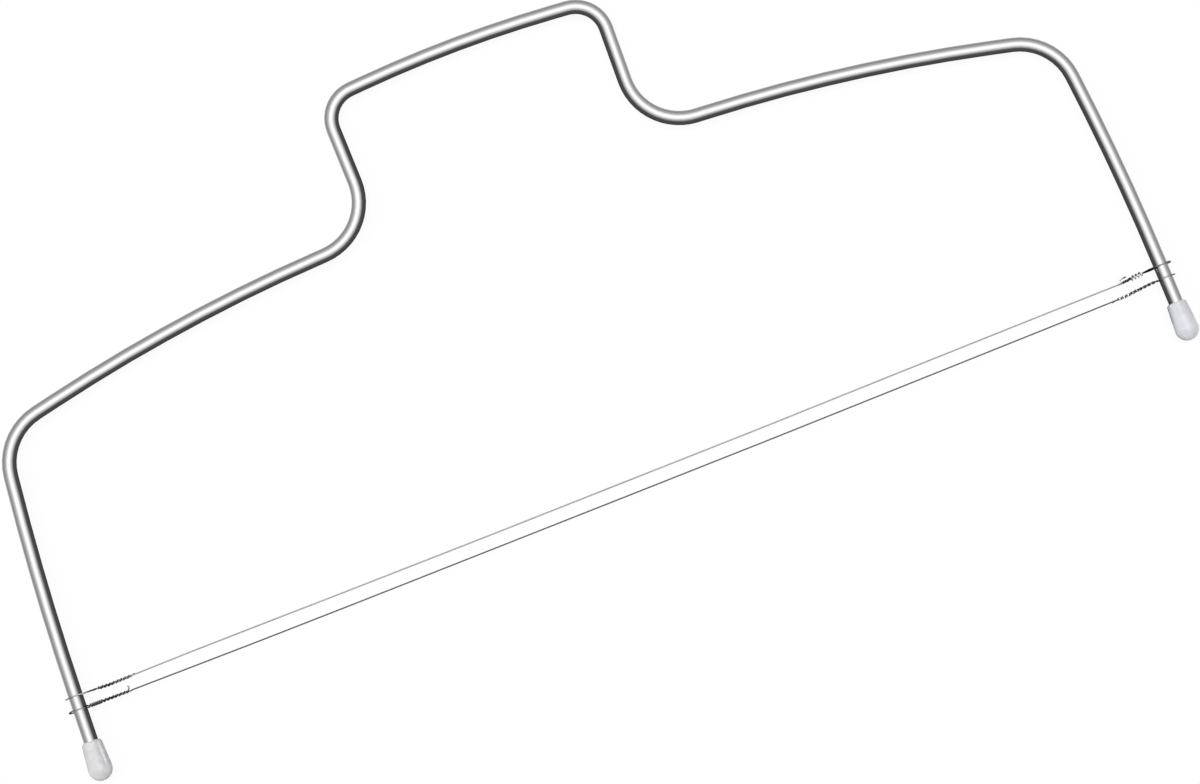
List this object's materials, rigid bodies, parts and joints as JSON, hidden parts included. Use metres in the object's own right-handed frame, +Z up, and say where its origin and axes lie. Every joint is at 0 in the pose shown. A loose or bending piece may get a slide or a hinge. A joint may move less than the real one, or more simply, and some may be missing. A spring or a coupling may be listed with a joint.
{
  "type": "cake leveler",
  "caption": "Flat wire cake leveler: a bent round rod frame with a raised grip, soft foot caps, and taut cutting wires looped and twisted round its splayed legs.",
  "frame": {"origin": "on the table, under the middle of the tool as it lies flat", "axes": "+X along the cutting wires, to the foot that stands higher, +Y from the feet to the grip, +Z up from the table, through the thickness"},
  "size_m": [0.3284, 0.1588, 0.0067],
  "materials": {
    "frame_steel": "mirror polished",
    "cap_plastic": "milky, softly glossy",
    "wire_steel": "bright drawn wire, a little dark"
  },
  "bodies": {
    "frame": {"frame_rod": "frame_steel", "left_cap": "cap_plastic", "right_cap": "cap_plastic"},
    "upper_wire": {"upper_wire": "wire_steel"},
    "lower_wire": {"lower_wire": "wire_steel"}
  },
  "joints": [
    {"name": "upper_wire_slide", "type": "slide", "parent": "frame", "child": "upper_wire", "axis": [0, 1, 0], "range_m": [0, 0.04]},
    {"name": "lower_wire_slide", "type": "slide", "parent": "frame", "child": "lower_wire", "axis": [0, 1, 0], "range_m": [-0.006, 0]}
  ]
}
